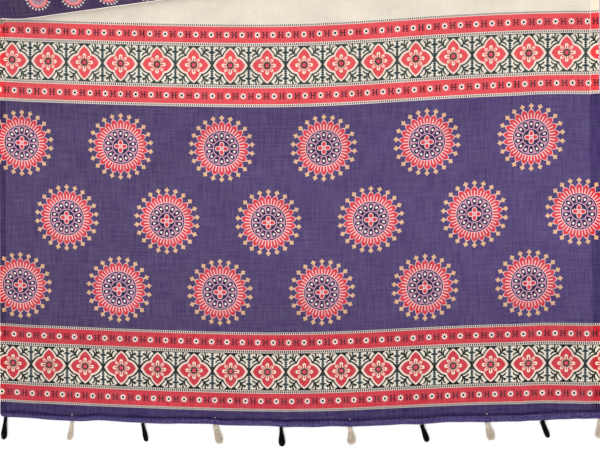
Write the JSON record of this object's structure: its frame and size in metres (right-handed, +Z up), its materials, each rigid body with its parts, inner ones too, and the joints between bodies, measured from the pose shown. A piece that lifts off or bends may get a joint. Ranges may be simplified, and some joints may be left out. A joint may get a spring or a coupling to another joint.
{
  "type": "cotton linen saree",
  "caption": "Saree laid out flat: a bordered, medallion-printed end spread in one layer with tassels along its hem, the rest folded into a packet at its far end.",
  "frame": {"origin": "on the floor under the middle of the spread end piece's print, 5.5 mm to the left of halfway between its selvedges", "axes": "+X across the cloth from left to right selvedge, +Y along the cloth away from the tasselled hem, +Z up"},
  "size_m": [1.2159, 1.5071, 0.0149],
  "materials": {
    "pallu_cloth": "matt cotton linen weave, violet navy field printed with medallions and two bands, cream beyond",
    "hem_cloth": "matt cotton linen, turned and stitched hem",
    "packet_cloth": "matt cream cotton linen with a violet navy border",
    "dark_thread": "matt dark cotton thread",
    "cream_thread": "matt cream cotton thread"
  },
  "bodies": {
    "root": {"pallu": "pallu_cloth", "hem_end": "hem_cloth", "hem_left": "pallu_cloth", "hem_right": "pallu_cloth", "packet_folds": "packet_cloth", "packet_top": "packet_cloth", "tassel_1": "dark_thread", "tassel_2": "cream_thread", "tassel_3": "dark_thread", "tassel_4": "cream_thread", "tassel_5": "dark_thread", "tassel_6": "cream_thread", "tassel_7": "dark_thread", "tassel_8": "cream_thread", "tassel_9": "dark_thread", "tassel_10": "cream_thread"}
  },
  "joints": []
}
